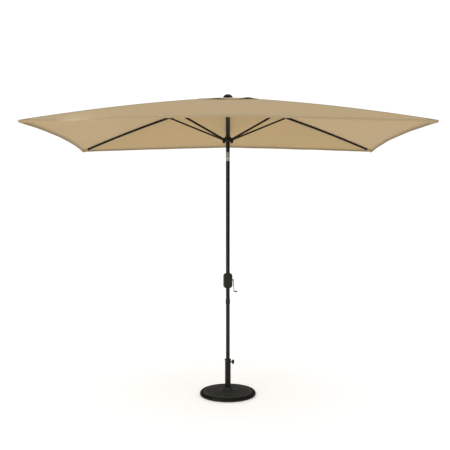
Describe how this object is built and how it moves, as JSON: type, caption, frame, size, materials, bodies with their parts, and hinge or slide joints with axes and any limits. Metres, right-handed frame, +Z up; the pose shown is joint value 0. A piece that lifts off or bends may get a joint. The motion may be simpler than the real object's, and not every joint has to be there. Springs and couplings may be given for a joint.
{
  "type": "patio umbrella with base",
  "caption": "Rectangular market umbrella on a round weighted base, with a vented fabric canopy on hinged ribs, a crank lift and a push-button tilt.",
  "frame": {"origin": "on the floor under the middle of the pole", "axes": "+X along the canopy's long side, on the crank's side; +Y along its short side, away from the tilt button; +Z up"},
  "size_m": [3, 2, 2.629],
  "materials": {
    "base_resin": "satin",
    "concrete": "matte",
    "rubber": "matte",
    "bronze_steel": "satin",
    "zinc_steel": "satin",
    "black_plastic": "satin",
    "nylon": "satin",
    "brass": "satin",
    "cast_aluminium": "satin",
    "crank_metal": "satin",
    "grip_plastic": "satin",
    "lift_cord": "matte",
    "rib_steel": "satin",
    "canopy_fabric": "matte"
  },
  "bodies": {
    "base": {"base_shell": "base_resin", "base_ballast": "concrete", "base_feet": "rubber", "stand_tube": "bronze_steel", "flange_bolts": "zinc_steel", "tube_collar": "black_plastic", "tube_foot_bush": "nylon", "clamp_nut": "zinc_steel"},
    "clamp_pad": {"clamp_pad": "brass"},
    "clamp_knob": {"clamp_knob": "black_plastic", "clamp_screw": "zinc_steel"},
    "mast": {"lower_pole": "bronze_steel", "pole_foot_plug": "nylon", "pole_coupler": "black_plastic", "mid_pole": "bronze_steel", "crank_housing_front": "black_plastic", "crank_housing_back": "black_plastic", "housing_screws": "zinc_steel", "crank_bushes": "nylon", "brake_spring": "zinc_steel", "lift_cord_lower": "lift_cord", "tilt_lower_knuckle": "cast_aluminium", "tilt_pins": "zinc_steel", "button_spring": "zinc_steel"},
    "tilt_button": {"tilt_button": "black_plastic"},
    "crank": {"crank_shaft": "zinc_steel", "cord_spool": "nylon", "crank_arm": "crank_metal", "grip_pin": "zinc_steel"},
    "crank_grip": {"crank_grip": "grip_plastic"},
    "upper": {"upper_pole": "bronze_steel", "tilt_upper_knuckle": "cast_aluminium", "crown_hub": "black_plastic", "crown_pins": "zinc_steel", "pulley_pin": "zinc_steel", "finial": "black_plastic", "vent_cap": "canopy_fabric", "lift_cord_upper": "lift_cord", "lift_cord_drop": "lift_cord"},
    "pulley": {"pulley": "nylon"},
    "runner": {"runner_hub": "black_plastic", "runner_sleeve": "nylon"},
    "rib_1": {"rib_1": "rib_steel", "canopy_1": "canopy_fabric"},
    "strut_1": {"strut_1": "rib_steel"},
    "rib_2": {"rib_2": "rib_steel", "canopy_2": "canopy_fabric"},
    "strut_2": {"strut_2": "rib_steel"},
    "rib_3": {"rib_3": "rib_steel", "canopy_3": "canopy_fabric"},
    "strut_3": {"strut_3": "rib_steel"},
    "rib_4": {"rib_4": "rib_steel", "canopy_4": "canopy_fabric"},
    "strut_4": {"strut_4": "rib_steel"},
    "rib_5": {"rib_5": "rib_steel", "canopy_5": "canopy_fabric"},
    "strut_5": {"strut_5": "rib_steel"},
    "rib_6": {"rib_6": "rib_steel", "canopy_6": "canopy_fabric"},
    "strut_6": {"strut_6": "rib_steel"}
  },
  "joints": [
    {"name": "clamp_pad_slide", "type": "slide", "parent": "base", "child": "clamp_pad", "axis": [1, 0, 0], "range_m": [0, 0.0025]},
    {"name": "knob_turn", "type": "hinge", "parent": "clamp_pad", "child": "clamp_knob", "pos_m": [0.04, 0, 0.286], "axis": [1, 0, 0], "range_deg": [0, 721]},
    {"name": "pole_turn", "type": "hinge", "parent": "base", "child": "mast", "pos_m": [0, 0, 0.2], "axis": [0, 0, 1], "continuous": true},
    {"name": "crank_turn", "type": "hinge", "parent": "mast", "child": "crank", "pos_m": [0, 0, 1.003], "axis": [1, 0, 0], "range_deg": [-4648, 0]},
    {"name": "grip_spin", "type": "hinge", "parent": "crank", "child": "crank_grip", "pos_m": [0.07, 0, 0.902], "axis": [1, 0, 0], "continuous": true},
    {"name": "tilt_button_press", "type": "slide", "parent": "mast", "child": "tilt_button", "axis": [0, 1, 0], "range_m": [0, 0.003], "stiffness_N_per_m": 800, "springref_m": -0.003, "deforming": ["button_spring"]},
    {"name": "canopy_tilt", "type": "hinge", "parent": "mast", "child": "upper", "pos_m": [0, 0, 2.08], "axis": [1, 0, 0], "range_deg": [0, 35]},
    {"name": "pulley_turn", "type": "hinge", "parent": "upper", "child": "pulley", "pos_m": [0.0096, 0, 2.5], "axis": [0, 1, 0], "range_deg": [0, 5083]},
    {"name": "runner_slide", "type": "slide", "parent": "upper", "child": "runner", "axis": [0, 0, 1], "range_m": [-0.85146, 0], "deforming": ["lift_cord_drop"]},
    {"name": "rib_fold_1", "type": "hinge", "parent": "upper", "child": "rib_1", "pos_m": [0.03744, 0.02496, 2.581], "axis": [0.5547, -0.8321, 0], "range_deg": [-69.09, 0], "deforming": ["canopy_1"]},
    {"name": "strut_fold_1", "type": "hinge", "parent": "rib_1", "child": "strut_1", "pos_m": [0.52003, 0.34669, 2.469], "axis": [0.5547, -0.8321, 0], "range_deg": [0, 127.52]},
    {"name": "rib_fold_2", "type": "hinge", "parent": "upper", "child": "rib_2", "pos_m": [0, 0.045, 2.575], "axis": [1, 0, 0], "range_deg": [-61.57, 0], "deforming": ["canopy_2"]},
    {"name": "strut_fold_2", "type": "hinge", "parent": "rib_2", "child": "strut_2", "pos_m": [0, 0.625, 2.376], "axis": [1, 0, 0], "range_deg": [0, 127.95]},
    {"name": "rib_fold_3", "type": "hinge", "parent": "upper", "child": "rib_3", "pos_m": [-0.03744, 0.02496, 2.581], "axis": [0.5547, 0.8321, 0], "range_deg": [-69.09, 0], "deforming": ["canopy_3"]},
    {"name": "strut_fold_3", "type": "hinge", "parent": "rib_3", "child": "strut_3", "pos_m": [-0.52003, 0.34669, 2.469], "axis": [0.5547, 0.8321, 0], "range_deg": [0, 127.52]},
    {"name": "rib_fold_4", "type": "hinge", "parent": "upper", "child": "rib_4", "pos_m": [-0.03744, -0.02496, 2.581], "axis": [-0.5547, 0.8321, 0], "range_deg": [-69.09, 0], "deforming": ["canopy_4"]},
    {"name": "strut_fold_4", "type": "hinge", "parent": "rib_4", "child": "strut_4", "pos_m": [-0.52003, -0.34669, 2.469], "axis": [-0.5547, 0.8321, 0], "range_deg": [0, 127.52]},
    {"name": "rib_fold_5", "type": "hinge", "parent": "upper", "child": "rib_5", "pos_m": [0, -0.045, 2.575], "axis": [-1, 0, 0], "range_deg": [-61.57, 0], "deforming": ["canopy_5"]},
    {"name": "strut_fold_5", "type": "hinge", "parent": "rib_5", "child": "strut_5", "pos_m": [0, -0.625, 2.376], "axis": [-1, 0, 0], "range_deg": [0, 127.95]},
    {"name": "rib_fold_6", "type": "hinge", "parent": "upper", "child": "rib_6", "pos_m": [0.03744, -0.02496, 2.581], "axis": [-0.5547, -0.8321, 0], "range_deg": [-69.09, 0], "deforming": ["canopy_6"]},
    {"name": "strut_fold_6", "type": "hinge", "parent": "rib_6", "child": "strut_6", "pos_m": [0.52003, -0.34669, 2.469], "axis": [-0.5547, -0.8321, 0], "range_deg": [0, 127.52]}
  ],
  "couplings": [
    {"joint": "knob_turn", "follows": "clamp_pad_slide", "rad_per_m": 5026.5},
    {"joint": "crank_turn", "follows": "runner_slide", "rad_per_m": 95.238},
    {"joint": "pulley_turn", "follows": "runner_slide", "rad_per_m": -104.17},
    {"joint": "rib_fold_1", "follows": "runner_slide", "rad_per_m": 1.4158},
    {"joint": "strut_fold_1", "follows": "runner_slide", "rad_per_m": -2.6135},
    {"joint": "rib_fold_2", "follows": "runner_slide", "rad_per_m": 1.2616},
    {"joint": "strut_fold_2", "follows": "runner_slide", "rad_per_m": -2.6223},
    {"joint": "rib_fold_3", "follows": "runner_slide", "rad_per_m": 1.4158},
    {"joint": "strut_fold_3", "follows": "runner_slide", "rad_per_m": -2.6135},
    {"joint": "rib_fold_4", "follows": "runner_slide", "rad_per_m": 1.4158},
    {"joint": "strut_fold_4", "follows": "runner_slide", "rad_per_m": -2.6135},
    {"joint": "rib_fold_5", "follows": "runner_slide", "rad_per_m": 1.2616},
    {"joint": "strut_fold_5", "follows": "runner_slide", "rad_per_m": -2.6223},
    {"joint": "rib_fold_6", "follows": "runner_slide", "rad_per_m": 1.4158},
    {"joint": "strut_fold_6", "follows": "runner_slide", "rad_per_m": -2.6135}
  ]
}
